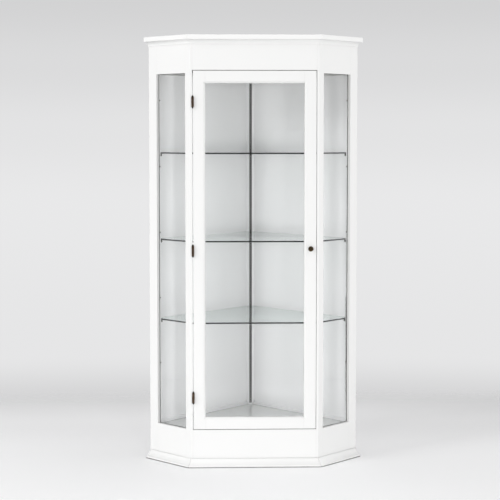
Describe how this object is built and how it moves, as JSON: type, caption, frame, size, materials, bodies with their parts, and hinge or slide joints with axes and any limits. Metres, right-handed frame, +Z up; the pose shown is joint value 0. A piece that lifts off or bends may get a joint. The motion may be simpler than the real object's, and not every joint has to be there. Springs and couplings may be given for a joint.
{
  "type": "corner curio cabinet",
  "caption": "White corner curio cabinet: canted plan, glazed hinged door, glass sides, glass shelves on slotted standards, moulded cornice and base.",
  "frame": {"origin": "on the floor at the centre of the overall bounding box", "axes": "+Z up, -Y out of the door front, +X to the right as seen facing the door, so the hinges are on -X"},
  "size_m": [0.9296, 0.65, 1.8],
  "materials": {
    "white_wood": "satin white lacquer over wood",
    "clear_glass": "clear 4 mm float glass",
    "shelf_glass": "clear 6 mm float glass, ground edges, dark green edge",
    "antique_bronze": "dark antique bronze, satin",
    "steel": "zinc plated",
    "catch_plastic": "white moulded plastic"
  },
  "bodies": {
    "cabinet": {"front_post_left": "white_wood", "outer_stile_left": "white_wood", "side_kick_board_left": "white_wood", "side_frieze_board_left": "white_wood", "back_panel_left": "white_wood", "wall_strip_left": "white_wood", "side_beads_left": "white_wood", "cornice_left": "white_wood", "base_moulding_left": "white_wood", "side_glass_left": "clear_glass", "front_post_right": "white_wood", "outer_stile_right": "white_wood", "side_kick_board_right": "white_wood", "side_frieze_board_right": "white_wood", "back_panel_right": "white_wood", "wall_strip_right": "white_wood", "side_beads_right": "white_wood", "cornice_right": "white_wood", "base_moulding_right": "white_wood", "side_glass_right": "clear_glass", "front_kick_board": "white_wood", "front_frieze_board": "white_wood", "corner_post": "white_wood", "floor_board": "white_wood", "ceiling_board": "white_wood", "top_panel": "white_wood", "cornice_front": "white_wood", "base_moulding_front": "white_wood", "hinge_frame_leaf_low": "antique_bronze", "hinge_frame_leaf_mid": "antique_bronze", "hinge_frame_leaf_high": "antique_bronze", "hinge_pins": "antique_bronze", "hinge_frame_screws": "antique_bronze", "standard_left": "antique_bronze", "standard_right": "antique_bronze", "standard_rear": "antique_bronze", "standard_screws": "antique_bronze", "shelf_clips": "antique_bronze", "bead_screws": "antique_bronze", "catch_screws": "steel", "magnet_catch": "catch_plastic"},
    "door": {"door_hinge_stile": "white_wood", "door_lock_stile": "white_wood", "door_bottom_rail": "white_wood", "door_top_rail": "white_wood", "door_glass": "clear_glass", "door_beads": "white_wood", "hinge_door_leaf_low": "antique_bronze", "hinge_door_leaf_mid": "antique_bronze", "hinge_door_leaf_high": "antique_bronze", "hinge_door_screws": "antique_bronze", "knob": "antique_bronze", "knob_screws": "steel", "strike_plate": "steel", "strike_screws": "steel"},
    "shelf_low": {"shelf_low": "shelf_glass"},
    "shelf_mid": {"shelf_mid": "shelf_glass"},
    "shelf_high": {"shelf_high": "shelf_glass"}
  },
  "joints": [
    {"name": "door_hinge", "type": "hinge", "parent": "cabinet", "child": "door", "pos_m": [-0.25675, -0.30163, 0.9055], "axis": [0, 0, -1], "range_deg": [0, 165]},
    {"name": "shelf_low_lift", "type": "slide", "parent": "cabinet", "child": "shelf_low", "axis": [0, 0, 1], "range_m": [0, 0.025]},
    {"name": "shelf_mid_lift", "type": "slide", "parent": "cabinet", "child": "shelf_mid", "axis": [0, 0, 1], "range_m": [0, 0.025]},
    {"name": "shelf_high_lift", "type": "slide", "parent": "cabinet", "child": "shelf_high", "axis": [0, 0, 1], "range_m": [0, 0.025]}
  ]
}
